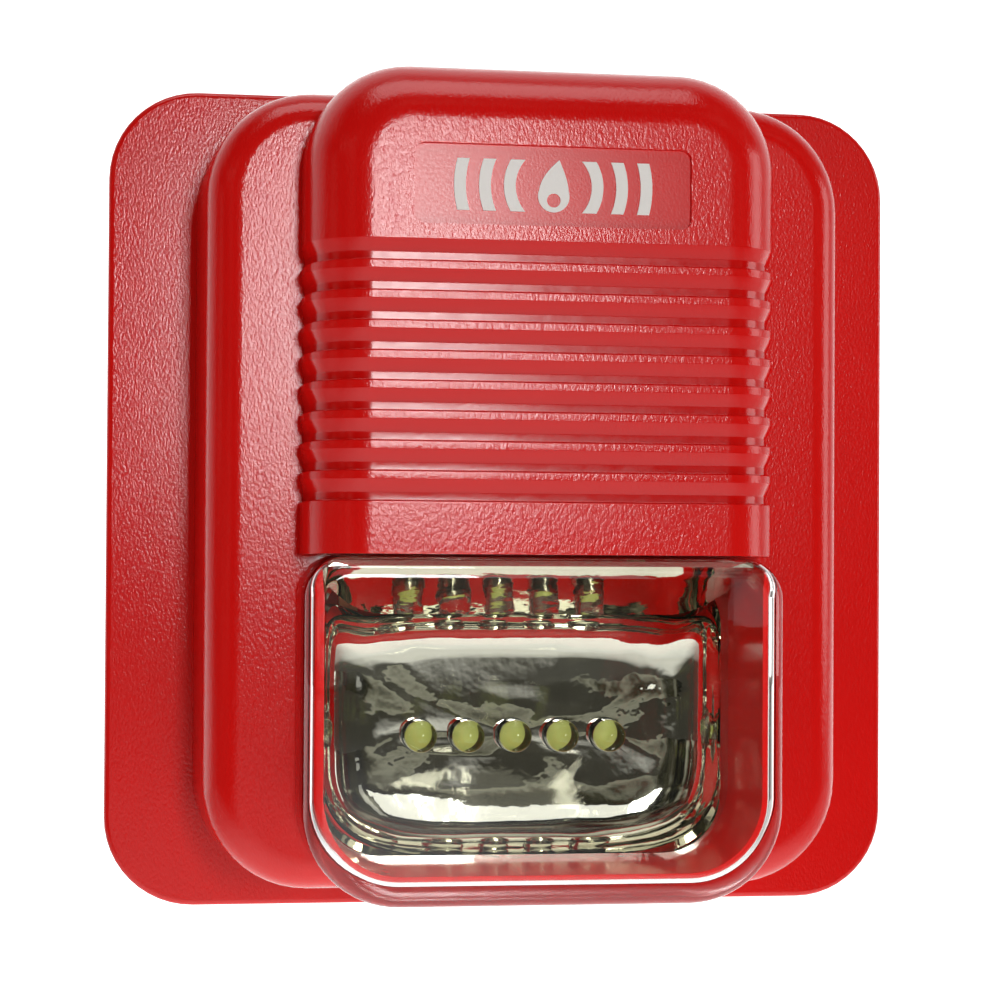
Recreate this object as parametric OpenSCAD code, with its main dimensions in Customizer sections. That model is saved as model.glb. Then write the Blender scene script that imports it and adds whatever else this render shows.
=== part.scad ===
// Wall-mounted horn strobe: a red moulded front unit that hooks on a mounting plate at its top edge,
// swings up off the wall, and is held at its foot by one captive screw.
// Every node is drawn lying down, x to the right, y up the wall and z out of the wall,
// and face_out() then stands it up: the wall is the plane y = 0 and the front faces -Y.

/* [Housing] */
// Width of the base tier
base_w = 126; // [120:1:140]
// Height of the base tier
base_h = 127.7; // [124:0.1:140]
// Corner radius of the base tier
base_r = 14; // [10:1:18]
// Distance from the wall to the face of the base tier
base_out = 11; // [10:0.5:12]
// Width of the middle tier where it leaves the base tier
mid_w = 98.8; // [96:0.2:104]
// Height of the middle tier where it leaves the base tier
mid_h = 120.4; // [118:0.2:122]
// Height of the middle tier's centre above the unit's centre
mid_up = 0.8; // [0:0.1:1]
// Distance from the wall to the face of the middle tier
mid_out = 32; // [31:0.5:34]
// Width of the grooved tower
tower_w = 70; // [68:0.5:72]
// Height of the tower's top edge above the unit's centre
tower_top = 62.5; // [61:0.1:63]
// Distance from the wall to the tower's face
tower_out = 46; // [45:0.5:48]
// Wall thickness of the moulding
wall = 2; // [1.8:0.1:2.2]

/* [Grooves and label] */
// Number of grooves across the tower
groove_count = 9; // [1:1:9]
// Distance from one groove to the next
groove_pitch = 4.26; // [4:0.02:4.3]
// Height of one groove
groove_h = 3; // [1.5:0.1:3.2]
// Depth of one groove
groove_deep = 0.8; // [0.4:0.1:1]
// Upper edge of the first groove
groove_top = 36.1; // [35:0.1:37]
// Width of the label recess
label_w = 40.3; // [30:0.1:42]
// Height of the label recess
label_h = 11.5; // [10:0.1:12]
// Height of the label's centre above the unit's centre
label_up = 43.95; // [43.5:0.05:45]

/* [Lens and reflector] */
// Half width of the lens
lens_half = 35.3; // [35.2:0.1:35.5]
// Lower edge of the lens
lens_low = -59.1; // [-59.3:0.1:-58.8]
// Upper edge of the lens
lens_top = -8.9; // [-9:0.05:-8.8]
// Distance from the wall to the lens face
lens_out = 45.2; // [44.5:0.1:46]
// Half width of the light cavity
cavity_half = 32.1; // [31.8:0.1:32.3]
// Lower edge of the light cavity
cavity_low = -54.6; // [-54.8:0.1:-54.2]
// Distance from the wall to the reflector's rim
rim_out = 26; // [25:0.5:27]
// Distance from the wall to the reflector's floor
floor_out = 18; // [17.6:0.1:18.5]
// Distance between lamp centres
lamp_pitch = 7.4; // [6.5:0.1:8]
// Height of the row of lamps
lamp_up = -36.6; // [-37.5:0.1:-35.5]

/* [Mounting plate] */
// Width of the mounting plate
plate_w = 110; // [100:1:114]
// Height of the mounting plate
plate_h = 114; // [112:0.5:114]
// Thickness of the mounting plate
plate_t = 2.5; // [2:0.1:2.5]
// Diameter of the cable entry
entry_d = 22; // [16:1:24]
// Sideways distance between the wall screws
wall_screw_x = 60.3; // [60:0.1:62]
// Upright distance between the wall screws
wall_screw_z = 83.5; // [82:0.1:84]

/* [Hidden] */
$fn = 48;
eps = 0.01;
past = 5;
through = 60;
skirt_back = 1;
slab = 0.02;
turn_out = [90, 0, 0];

// Hook hinge: axis across the top of the plate
hinge_up = 59.15;
hinge_out = 3;
hook_nose_r = 1.4;
hook_seat_r = 1.5;
hook_socket_r = 2.7;
hook_x = 35;
hook_w = 10;
hook_tab = 1.6;
hook_root = 6;
hook_foot_h = 4;
hook_foot_t = 2.1;
seat_reach = 4.2;
relief_out = 2.2;
relief_half = 57;
seat_open_front = 37;
seat_open_back = 62;

// Locking screw at the foot
lock_out = 6;
lock_shank_r = 1.5;
lock_head_r = 2.8;
lock_head_h = 1.8;
lock_head_top = -61.75;
lock_web_low = -61.65;
lock_web_top = -59.85;
lock_lip_low = -59.5;
lock_lip_h = 4;
lock_clip_low = -54.4;
lock_clip_h = 0.6;
lock_tip = -53;
lock_lip_w = 14;
lock_lip_wall = 2.6;
lock_boss_half = 8;
lock_clip_r = 3;
lock_clip_slot = 1.4;
lock_cross_w = 0.8;
lock_cross_long = 3.8;
lock_cross_deep = 1.1;
gusset_x = 6;
gusset_side = 6;
gusset_t = 1.6;
slot_clear = 0.5;
shank_clear = 0.2;

// Pads on the plate and posts in the housing
pad_place = 50;
pad_r = 3;
pad_out = 6;
wall_hole_r = 2.2;
post_r = 3;
pilot_r = 1;

// Terminal block, two ways
block_w = 19;
block_h = 15;
block_up = -40;
block_out = 11.5;
pole_x = 4.5;
cage_w = 5.6;
cage_h = 6;
cage_low = 3.9;
cage_t = 4.6;
clamp_shank_r = 1.5;
clamp_head_r = 2.1;
clamp_head_h = 1.4;
clamp_head_low = 1.8;
clamp_tip = 2.2;
clamp_slot_w = 0.7;
clamp_slot_deep = 1.1;
cage_wall = 0.8;
cage_window = 2.2;
cage_room = 0.3;
cage_travel = 1.8;
wire_way_w = 4.6;
wire_way_h = 3.6;
run_clear = 0.05;

// Boards
main_out = 12;
board_t = 1.6;
main_half = 42;
main_low = -2;
main_high = 54;
main_post_x = 38;
main_post_low = 3;
main_post_high = 49;
lamp_board_out = 13;
lamp_board_w = 54;
lamp_board_h = 14;
lamp_post_x = 23;
pad_x = 24;
pad_up = 8;
pad_size = 6;
pad_t = 0.1;
bar_t = 0.6;
bar_w = 3;
bar_past = 4;
leaf_w = 3;
leaf_t = 0.4;
leaf_gap = 0.25;
board_hole_r = 1.3;
lead_x = 1.27;
lead_w = 0.5;
lead_hole_w = 0.56;
main_front = main_out + board_t;
lamp_front = lamp_board_out + board_t;

// Lamps: 5 mm dome lamps with a base flange
lamp_r = 2.5;
lamp_flange_r = 2.9;
lamp_flange_h = 1;
lamp_straight = 6.1;
lamp_hole_r = 2.65;

// Screws driven from behind: head width and drive over the shank radius
screw_r = 0.98;
lamp_screw_r = 0.78;
sounder_screw_r = 0.88;
reflector_screw_l = 4.3;
lamp_screw_l = 3.6;
main_screw_l = 9;
sounder_screw_l = 7;
head_ratio = 2.1;
drive_ratio = 1.6;
head_h = 1.3;
drive_w = 0.6;
drive_deep = 0.7;

// Electronic parts, places as [x, up]
cap_at = [-31, 16];
cap_r = 4;
cap_h = 11;
coil_at = [30, 16];
core_r = 5;
core_h = 9;
core_flange = 1.5;
core_neck_r = 2.4;
winding_r = 4.5;
chip_up = 10;
chip_size = [9, 4, 1.6];
chip_lift = 0.2;
leg_pitch = 1.27;
leg_reach = 1.1;
leg_w = 0.4;
leg_t = 0.5;
transistor_at = [14, 9];
transistor_r = 2.4;
transistor_h = 4.8;
transistor_flat = 1.5;
diode_at = [-20, 2.2];
diode_pitch = 5;
diode_size = [2.6, 4.4, 2];
resistor_at = [4, 2];
resistor_pitch = 4;
resistor_size = [1.6, 3.2, 0.6];
lamp_resistor_size = [3.2, 1.6, 0.6];
lamp_resistor_drop = 5;
varistor_at = [-16, 10.5];
varistor_r = 4.5;
varistor_t = 3;

// Selector switch on the back of the main board
switch_size = [7.2, 8, 3.4];
switch_low = 36;
lever_x = 1.8;
lever_size = [1.4, 2, 2.4];
lever_proud = 0.8;
lever_low = 37.9;
lever_slot = [1.6, 4.8, 1.8];
lever_slot_low = 37.6;

// Reflector bowl
bowl_half = 31.3;
bowl_tall = 22.2;
bowl_up = -32.2;
bowl_floor_half = 17;
bowl_floor_tall = 6;
bowl_t = 1.3;
ear_x = 37.5;
ear_up = [-18, -46];
ear_r = 3.4;
ear_root = 6;
ear_hole_r = 1.3;
stem_r = 2.5;
stem_pilot_r = 0.8;
stem_pilot_l = 2.4;
bowl_steps = 6;
shelf_half = 30;
shelf_root = [-19.2, 20.6];
shelf_crease = [-17.1, 28];
shelf_edge = [-11, 40.3];
shelf_t = 0.9;
bowl_sag = 2;
cavity_top = -10;
cavity_foot_r = 11;
cavity_head_r = 3;

// Label recess and its print: a flame between sounding arcs
label_deep = 0.6;
label_r = 1.5;
print_t = 0.15;
flame_r = 2.3;
flame_up = -1.4;
flame_tip = 3.8;
flame_core_r = 1;
arc_radii = [6.4, 10, 13.6];
arc_t = 1.7;
arc_tall = 7.4;

// Lens and the red frame inside it
frame_wall = 1.2;
frame_out = 42;
frame_foot_r = 12;
frame_head_r = 4;
lens_foot_r = 14;
lens_head_r = 6;
lens_wall = 1.8;
lens_front = 2.2;
lens_foot_wall = 3.06;
lens_round = 3;
lens_round_steps = 5;
lens_draft = 0.15;
lens_lip = 1;

// Sounder
piezo_up = 27;
chamber_r = 24;
post_x = 27;
ear_reach = 30.3;
ear_t = 2;
chamber_back_out = 25.5;
chamber_cup_out = 27.5;
chamber_t = 1.4;
chamber_gap = 3;
chamber_ear_h = 7;
chamber_hole_r = 1.3;
disc_r = 20.5;
disc_out = 31;
disc_t = 0.3;
disc_seat = 1.5;
ceramic_r = 13.5;
ceramic_t = 0.25;
post_end = 3.4;
sounder_post_r = 2.6;
sounder_pilot_r = 0.9;

// Wires
piezo_wire_r = 0.5;
lamp_wire_r = 0.6;
wire_facets = 8;
wire_port_r = 2;
wire_port_drop = 12;

mid_draft = 1;
mid_round = 5;
tower_draft = 0.3;
tower_round = 9;
tower_r = 15;
tower_root = 6;
tower_blend = 0.6;
mid_r = 16;
fillet_steps = 6;

// Stands a lying shape up against the wall
module face_out() rotate(turn_out) children();

// Rectangle with round corners, exact arcs
module round_rect(w, h, r) {
    square([w, h - 2 * r], center = true);
    square([w - 2 * r, h], center = true);
    for (x = [-1, 1], y = [-1, 1])
        translate([x * (w / 2 - r), y * (h / 2 - r)]) circle(r = r);
}

// Upright outline with its own lower and upper corner radii
module arch(half, low, top, r_low, r_top) {
    translate([-half, low + r_low]) square([2 * half, top - low - r_low - r_top]);
    translate([-(half - r_low), low]) square([2 * (half - r_low), top - low - r_top]);
    translate([-(half - r_top), low + r_low]) square([2 * (half - r_top), top - low - r_low]);
    for (x = [-1, 1]) {
        translate([x * (half - r_low), low + r_low]) circle(r = r_low);
        translate([x * (half - r_top), top - r_top]) circle(r = r_top);
    }
}

// Cylinder whose axis runs across the unit
module across(r, x, up, out, w)
    translate([x - w / 2, up, out]) rotate([0, 90, 0]) cylinder(r = r, h = w);

// Cylinder whose axis runs up the wall
module upright(r, x, low, out, h)
    translate([x, low, out]) rotate([-90, 0, 0]) cylinder(r = r, h = h);

// Cylinder whose axis runs out of the wall
module outward(r, x, up, low, h) translate([x, up, low]) cylinder(r = r, h = h);

// Box from its low corner
module block(x, up, out, size) translate([x, up, out]) cube(size);

// Slab of an outline between two distances from the wall
module between(low, high) translate([0, 0, low]) linear_extrude(high - low) children();

// Middle tier: drafted wall and a quarter-round shoulder, shrunk by skin
module mid_body(skin) {
    face = mid_out - skin;
    round_r = mid_round;
    straight = face - round_r;
    translate([0, mid_up, 0]) hull() {
        between(base_out - wall - skin, base_out - wall - skin + slab)
            round_rect(mid_w - 2 * skin, mid_h - 2 * skin, mid_r - skin);
        for (i = [0:fillet_steps]) {
            a = 90 * i / fillet_steps;
            inset = skin + mid_draft + round_r * (1 - cos(a));
            out = straight + round_r * sin(a);
            between(out - slab, out)
                round_rect(mid_w - 2 * inset, mid_h - 2 * inset, mid_r - inset);
        }
    }
}

// Tower: outline down to low, drafted wall and quarter-round edges, shrunk by skin
module tower_body(skin, low) {
    face = tower_out - skin;
    round_r = tower_round - skin / 2;
    straight = face - round_r;
    tall = tower_top - low;
    translate([0, (tower_top + low) / 2, 0]) hull() {
        between(mid_out - tower_root, mid_out - tower_root + slab)
            round_rect(tower_w - 2 * skin, tall - 2 * skin, tower_r - skin);
        for (i = [0:fillet_steps]) {
            a = 90 * i / fillet_steps;
            inset = skin + tower_draft + round_r * (1 - cos(a));
            out = straight + round_r * sin(a);
            between(out - slab, out)
                round_rect(tower_w - 2 * inset, tall - 2 * inset, tower_r - inset + tower_blend);
        }
    }
}

// Outline of the red frame round the light cavity, up to top
module frame_outline(top)
    arch(cavity_half + frame_wall, cavity_low - frame_wall, top, frame_foot_r, frame_head_r);

module housing_outside() {
    between(skirt_back, base_out) round_rect(base_w, base_h, base_r);
    mid_body(0);
    difference() {
        tower_body(0, lens_low);
        block(-base_w, lens_low - past, mid_out, [2 * base_w, lens_top - lens_low + past, tower_out]);
        grooves();
    }
    between(base_out - eps, mid_out) arch(lens_half, lens_low, lens_top + past, lens_foot_r, past);
    between(mid_out - eps, frame_out)
        frame_outline(lens_top - lens_lip - 2 * run_clear);
}

// Bands round the tower, open outwards
module grooves() difference() {
    for (i = [0:groove_count - 1])
        block(-tower_w, groove_top - i * groove_pitch - groove_h, mid_out,
              [2 * tower_w, groove_h, tower_out]);
    tower_body(groove_deep, lens_low);
}

module housing_inside() {
    between(skirt_back - eps, base_out - wall)
        round_rect(base_w - 2 * wall, base_h - 2 * wall, base_r - wall);
    difference() {
        mid_body(wall);
        between(rim_out, mid_out)
            frame_outline(lens_top + wall);
    }
    intersection() {
        tower_body(wall, lens_low);
        block(-tower_w, lens_top + wall, 0, [2 * tower_w, base_h, tower_out]);
    }
    between(rim_out - past, mid_out + tower_out)
        arch(cavity_half, cavity_low, cavity_top, cavity_foot_r, cavity_head_r);
    between(mid_out, frame_out + 1)
        translate([-cavity_half, cavity_top - past]) square([2 * cavity_half, lens_top - cavity_top + past]);
}

module hook_socket(x) difference() {
    union() {
        across(hook_socket_r, x, hinge_up, hinge_out, hook_w);
        block(x - hook_w / 2, hinge_up, relief_out,
              [hook_w, base_h / 2 - hinge_up - wall + eps, hinge_out + hook_socket_r - relief_out]);
    }
    across(hook_seat_r, x, hinge_up, hinge_out, hook_w + 1);
    translate([x - hook_w / 2 - 1, hinge_up, hinge_out]) rotate([0, 90, 0])
        linear_extrude(hook_w + 2) polygon(concat([[0, 0]],
            [for (a = [-seat_open_front, 0, seat_open_back / 2, seat_open_back])
                seat_reach * [sin(a), -cos(a)]]));
}

module lock_notch() {
    reach = lock_out - skirt_back + 1;
    for (part = [[lock_head_r + slot_clear, -base_h / 2 - 1, lock_web_low + base_h / 2 + 1],
                 [lock_shank_r + shank_clear, lock_web_low - 1, lock_web_top - lock_web_low + 2]]) {
        upright(part[0], 0, part[1], lock_out, part[2]);
        block(-part[0], part[1], lock_out - reach, [2 * part[0], part[2], reach]);
    }
}

// Round bars at every pair of the listed places
module post_row(xs, ups, low, high, r) for (x = xs, up = ups) outward(r, x, up, low, high - low);

module housing() color([0.76, 0.09, 0.08]) face_out() difference() {
    union() {
        difference() {
            housing_outside();
            housing_inside();
        }
        for (x = [-hook_x, hook_x]) hook_socket(x);
        block(-lock_boss_half, -base_h / 2 + wall - eps, skirt_back,
              [2 * lock_boss_half, lock_web_top + base_h / 2 - wall + eps, base_out - skirt_back - 1]);
        post_row([-main_post_x, main_post_x], [main_post_low, main_post_high],
                 main_front, mid_out - wall + eps, post_r);
        post_row([-ear_x, ear_x], ear_up, rim_out, mid_out - wall + eps, post_r);
        post_row([-post_x, post_x], [piezo_up], chamber_cup_out + ear_t, tower_out - post_end,
                 sounder_post_r);
    }
    block(-relief_half, base_h / 2 - wall - eps, 0, [2 * relief_half, wall + 1, relief_out]);
    lock_notch();
    translate([0, label_up, tower_out - label_deep]) linear_extrude(past)
        round_rect(label_w, label_h, label_r);
    post_row([-main_post_x, main_post_x], [main_post_low, main_post_high],
             main_front - eps, main_front + main_screw_l, pilot_r);
    post_row([-ear_x, ear_x], ear_up, rim_out - eps, rim_out + 3.5, pilot_r);
    post_row([-post_x, post_x], [piezo_up], chamber_cup_out - eps, chamber_cup_out + 6, sounder_pilot_r);
}

// Flame between two sets of sounding arcs, one thin print
module legend() color([0.93, 0.91, 0.88]) face_out()
    translate([0, label_up, tower_out - label_deep]) linear_extrude(print_t) {
        difference() {
            union() {
                translate([0, flame_up]) circle(r = flame_r);
                polygon([for (t = [0:0.1:1]) [-2.2 + 3 * t * t, flame_tip - 5 * (1 - t)],
                         for (t = [0:0.1:1]) [0.8 + 1.4 * sin(90 * t), flame_tip - 5 * t]]);
            }
            translate([0, flame_up - 0.6]) circle(r = flame_core_r);
        }
        for (side = [0, 180], r = arc_radii) rotate(side) intersection() {
            difference() {
                circle(r = r + arc_t / 2);
                circle(r = r - arc_t / 2);
            }
            translate([0, -arc_tall / 2]) square([label_w / 2, arc_tall]);
        }
    }

// Lens outside: drafted walls with a rounded front edge
module lens_outside() hull() {
    between(mid_out, mid_out + slab) arch(lens_half, lens_low, lens_top, lens_foot_r, lens_head_r);
    for (i = [0:lens_round_steps]) {
        a = 90 * i / lens_round_steps;
        inset = lens_draft + lens_round * (1 - cos(a));
        out = lens_out - lens_round + lens_round * sin(a);
        between(out - slab, out)
            arch(lens_half - inset, lens_low + inset, lens_top - inset * 0.3,
                 lens_foot_r - inset, lens_head_r - 0.8 * (inset - lens_draft));
    }
}

module lens() color([0.9, 0.93, 0.94, 0.35]) face_out() difference() {
    lens_outside();
    between(mid_out - 1, lens_out - lens_front)
        arch(lens_half - lens_wall, lens_low + lens_foot_wall, lens_top - lens_lip,
             lens_foot_r - lens_wall, lens_head_r - lens_wall);
}

module bowl(skin, floor_at) hull() for (i = [0:bowl_steps]) {
    t = i / bowl_steps;
    swell = sqrt(1 - pow(1 - t, 2));
    out = floor_at + (rim_out - floor_at) * (1 - cos(90 * t));
    grow = sin(90 * t);
    half = bowl_floor_half + (bowl_half - bowl_floor_half) * swell + skin;
    tall = bowl_floor_tall + (bowl_tall - bowl_floor_tall) * swell + skin;
    translate([0, bowl_up - bowl_sag * (1 - grow), out])
        linear_extrude(slab) round_rect(2 * half, 2 * tall, 4 + 6 * swell);
}

module lamp_x() for (i = [-2:2]) translate([i * lamp_pitch, lamp_up]) children();

// Bent strip over the bowl: a wall out to the crease, then a shelf out to the lens
module reflector_shelf() translate([-shelf_half, 0, 0]) rotate([0, 90, 0]) rotate([0, 0, 90])
    linear_extrude(2 * shelf_half)
        polygon([shelf_root, shelf_crease, shelf_edge, shelf_edge + [shelf_t, 0],
                 shelf_crease + [shelf_t, -shelf_t / 2], shelf_root + [shelf_t, 0]]);

module reflector_dish() difference() {
    union() {
        bowl(bowl_t, floor_out - bowl_t);
        between(rim_out - bowl_t, rim_out)
            frame_outline(lens_top + 0.5);
        for (x = [-1, 1], up = ear_up)
            between(rim_out - bowl_t, rim_out) hull() {
                translate([x * ear_x, up]) circle(r = ear_r);
                translate([x * (ear_x - ear_root), up]) circle(r = ear_r);
            }
        for (x = [-1, 1])
            outward(stem_r, x * lamp_post_x, lamp_up, lamp_front, floor_out - lamp_front);
    }
    bowl(0, floor_out);
    between(rim_out, rim_out + past) square(2 * base_w, center = true);
    between(0, rim_out) lamp_x() circle(r = lamp_hole_r);
    for (x = [-1, 1], up = ear_up) outward(ear_hole_r, x * ear_x, up, 0, rim_out + 1);
    for (x = [-1, 1]) outward(stem_pilot_r, x * lamp_post_x, lamp_up, lamp_front - eps, stem_pilot_l);
}

module reflector() color([0.8, 0.81, 0.8]) face_out() {
    reflector_dish();
    reflector_shelf();
}

// Pan-head screw entering from behind, its head's bearing face at seat
module board_screw(x, up, seat, r, length) {
    difference() {
        outward(head_ratio * r, x, up, seat - head_h, head_h);
        for (turn = [0, 90]) translate([x, up, seat - head_h - eps]) rotate(turn)
            translate([-drive_ratio * r, -drive_w / 2, 0]) cube([2 * drive_ratio * r, drive_w, drive_deep]);
    }
    outward(r, x, up, seat - eps, length);
}

module reflector_screws() color("silver") face_out()
    for (x = [-ear_x, ear_x], up = ear_up) board_screw(x, up, rim_out - bowl_t, screw_r, reflector_screw_l);

module lamp_board_screws() color("silver") face_out()
    for (x = [-1, 1]) board_screw(x * lamp_post_x, lamp_up, lamp_board_out, lamp_screw_r, lamp_screw_l);

module main_board_screws() color("silver") face_out()
    for (x = [-main_post_x, main_post_x], up = [main_post_low, main_post_high])
        board_screw(x, up, main_out, screw_r, main_screw_l);

module chamber_screws() color("silver") face_out()
    for (x = [-post_x, post_x]) board_screw(x, piezo_up, chamber_back_out, sounder_screw_r, sounder_screw_l);

module lamp(i) color([0.92, 0.94, 0.9, 0.5]) face_out()
    translate([i * lamp_pitch, lamp_up, lamp_front]) rotate_extrude() intersection() {
        union() {
            square([lamp_flange_r, lamp_flange_h]);
            square([lamp_r, lamp_straight]);
            translate([0, lamp_straight]) circle(r = lamp_r);
        }
        square([lamp_flange_r, lamp_straight + lamp_r]);
    }

module lamp_leads() color("silver") face_out() lamp_x()
    for (x = [-lead_x, lead_x])
        translate([x - lead_w / 2, -lead_w / 2, lamp_board_out - 1]) cube([lead_w, lead_w, board_t + 1]);

module lamp_board() color([0.92, 0.93, 0.9]) face_out() difference() {
    translate([0, lamp_up, lamp_board_out]) linear_extrude(board_t)
        round_rect(lamp_board_w, lamp_board_h, label_r);
    for (x = [-1, 1]) outward(pilot_r, x * lamp_post_x, lamp_up, 0, through);
    between(0, through) lamp_x()
        for (x = [-lead_x, lead_x]) translate([x, 0]) square(lead_hole_w, center = true);
}

// Small surface-mounted block centred on its place
module chip(x, up, low, size) block(x - size[0] / 2, up - size[1] / 2, low, size);

module lamp_resistors() color([0.12, 0.12, 0.13]) face_out()
    for (i = [-2:2]) chip(i * lamp_pitch, lamp_up - lamp_resistor_drop, lamp_front, lamp_resistor_size);

module main_board() color([0.1, 0.42, 0.2]) face_out() difference() {
    block(-main_half, main_low, main_out, [2 * main_half, main_high - main_low, board_t]);
    post_row([-main_post_x, main_post_x], [main_post_low, main_post_high], 0, through, board_hole_r);
}

module contact_pads() color([0.85, 0.68, 0.3]) face_out()
    for (x = [-pad_x, pad_x])
        block(x - pad_size / 2, pad_up - pad_size / 2, main_out - pad_t, [pad_size, pad_size, pad_t]);

module capacitor() color([0.15, 0.2, 0.35]) face_out() translate([cap_at[0], cap_at[1], main_front])
    rotate_extrude() union() {
        square([cap_r, cap_h - 1]);
        square([0.9 * cap_r, cap_h]);
    }

module inductor_core() color([0.25, 0.25, 0.27]) face_out() translate([coil_at[0], coil_at[1], main_front])
    rotate_extrude() union() {
        square([core_r, core_flange]);
        square([core_neck_r, core_h]);
        translate([0, core_h - core_flange]) square([core_r, core_flange]);
    }

module inductor_coil() color([0.72, 0.38, 0.18]) face_out()
    translate([coil_at[0], coil_at[1], main_front + core_flange]) rotate_extrude()
        translate([core_neck_r, 0]) square([winding_r - core_neck_r, core_h - 2 * core_flange]);

module controller_chip() color([0.1, 0.1, 0.1]) face_out() {
    half = chip_size[1] / 2;
    chip(0, chip_up, main_front + chip_lift, chip_size);
    for (i = [-2.5:2.5], low = [-half - leg_reach, half - eps])
        block(i * leg_pitch - leg_w / 2, chip_up + low, main_front, [leg_w, leg_reach + eps, leg_t]);
}

module transistor() color([0.1, 0.1, 0.1]) face_out()
    translate([transistor_at[0], transistor_at[1], main_front]) linear_extrude(transistor_h) difference() {
        circle(r = transistor_r);
        translate([-transistor_r, -transistor_flat - past]) square([2 * transistor_r, past]);
    }

module diodes() color([0.14, 0.14, 0.14]) face_out()
    for (i = [0:3]) chip(diode_at[0] + i * diode_pitch, diode_at[1], main_front, diode_size);

module resistors() color([0.1, 0.1, 0.12]) face_out()
    for (i = [0:5]) chip(resistor_at[0] + i * resistor_pitch, resistor_at[1], main_front, resistor_size);

module varistor() color([0.15, 0.35, 0.65]) face_out()
    translate([varistor_at[0], varistor_at[1], main_front + varistor_r])
        rotate([90, 0, 0]) cylinder(r = varistor_r, h = varistor_t);

module dip_switch() color([0.75, 0.12, 0.1]) face_out() difference() {
    block(-switch_size[0] / 2, switch_low, main_out - switch_size[2], switch_size);
    for (x = [-lever_x, lever_x])
        block(x - lever_slot[0] / 2, lever_slot_low, main_out - switch_size[2] - eps, lever_slot);
}

module dip_lever(x) color("white") face_out()
    block(x - lever_size[0] / 2, lever_low, main_out - switch_size[2] - lever_proud, lever_size);

module sound_chamber() color([0.12, 0.12, 0.13]) face_out() difference() {
    union() {
        outward(chamber_r, 0, piezo_up, chamber_cup_out,
                tower_out - wall - chamber_gap - chamber_cup_out);
        block(-ear_reach, piezo_up - chamber_ear_h / 2, chamber_cup_out,
              [2 * ear_reach, chamber_ear_h, ear_t]);
    }
    outward(chamber_r - chamber_t, 0, piezo_up, disc_out, through);
    outward(disc_r - disc_seat, 0, piezo_up, 0, through);
    for (x = [-post_x, post_x]) outward(chamber_hole_r, x, piezo_up, 0, through);
}

module chamber_back() color([0.16, 0.16, 0.17]) face_out() difference() {
    between(chamber_back_out, chamber_cup_out) {
        translate([0, piezo_up]) circle(r = chamber_r);
        translate([-ear_reach, piezo_up - chamber_ear_h / 2]) square([2 * ear_reach, chamber_ear_h]);
    }
    for (x = [-post_x, post_x]) outward(chamber_hole_r, x, piezo_up, 0, through);
    outward(wire_port_r, 0, piezo_up - wire_port_drop, 0, through);
}

module piezo_disc() color([0.83, 0.68, 0.32]) face_out()
    outward(disc_r, 0, piezo_up, disc_out, disc_t);

module piezo_ceramic() color([0.9, 0.9, 0.86]) face_out()
    outward(ceramic_r, 0, piezo_up, disc_out - ceramic_t, ceramic_t);

// Wire of radius r through the listed points
module wire(points, r) for (i = [0:len(points) - 2]) hull() {
    translate(points[i]) sphere(r = r, $fn = wire_facets);
    translate(points[i + 1]) sphere(r = r, $fn = wire_facets);
}

module piezo_wires() color([0.1, 0.1, 0.1]) face_out() for (x = [-0.7, 0.7])
    wire([[x, piezo_up - wire_port_drop, disc_out - ceramic_t - 0.6], [x, piezo_up - wire_port_drop, 22],
          [x * 2, piezo_up - 9, 18], [x * 2, piezo_up - 8, main_front + 0.7]], piezo_wire_r);

module lamp_wires() color([0.7, 0.1, 0.1]) face_out() for (x = [-0.8, 0.8])
    wire([[x + 25, lamp_up + 5, lamp_front + 0.7], [x + 28, -24, 15.5], [x + 32, -12, 15.8],
          [x + 32, -3, 15.6], [x + 32, 0.5, main_front + 0.8]], lamp_wire_r);

module mounting_plate() color([0.72, 0.09, 0.08]) face_out() difference() {
    union() {
        between(0, plate_t) round_rect(plate_w, plate_h, 9);
        for (x = [-hook_x, hook_x]) {
            block(x - hook_w / 2 - 1, plate_h / 2 - hook_root, hinge_out - hook_tab / 2,
                  [hook_w + 2, hinge_up - plate_h / 2 + hook_root, hook_tab]);
            block(x - hook_w / 2 - 1, plate_h / 2 - hook_root, plate_t - 1,
                  [hook_w + 2, hook_foot_h, hook_foot_t]);
            across(hook_nose_r, x, hinge_up, hinge_out, hook_w + 2);
        }
        block(-lock_lip_w / 2, lock_lip_low, 0, [lock_lip_w, lock_lip_h, lock_out + lock_lip_wall]);
        for (x = [-gusset_x, gusset_x])
            translate([x - gusset_t / 2, lock_lip_low + lock_lip_h - eps, plate_t - eps])
                rotate([0, 90, 0]) rotate([0, 0, 90])
                    linear_extrude(gusset_t) polygon([[0, 0], [gusset_side, 0], [0, gusset_side]]);
        post_row([-pad_place, pad_place], [-pad_place, pad_place], plate_t - eps, pad_out, pad_r);
    }
    outward(entry_d / 2, 0, 0, -1, through);
    post_row([-wall_screw_x / 2, wall_screw_x / 2], [-wall_screw_z / 2, wall_screw_z / 2],
             -1, through, wall_hole_r);
    upright(lock_shank_r + run_clear, 0, lock_lip_low - 1, lock_out, lock_lip_h + 2);
}

module lock_clip() color("silver") face_out() difference() {
    upright(lock_clip_r, 0, lock_clip_low, lock_out, lock_clip_h);
    upright(lock_shank_r + run_clear, 0, lock_clip_low - 1, lock_out, past);
    block(-lock_clip_slot / 2, lock_clip_low - 1, lock_out, [lock_clip_slot, past, past]);
}

module lock_screw() color("silver") face_out() difference() {
    union() {
        upright(lock_head_r, 0, lock_head_top - lock_head_h, lock_out, lock_head_h);
        upright(lock_shank_r, 0, lock_head_top - eps, lock_out, lock_tip - lock_head_top + eps);
    }
    for (turn = [0, 90]) translate([0, lock_head_top - lock_head_h - eps, lock_out])
        rotate([0, turn, 0]) translate([-lock_cross_long / 2, 0, -lock_cross_w / 2])
            cube([lock_cross_long, lock_cross_deep, lock_cross_w]);
}

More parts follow.
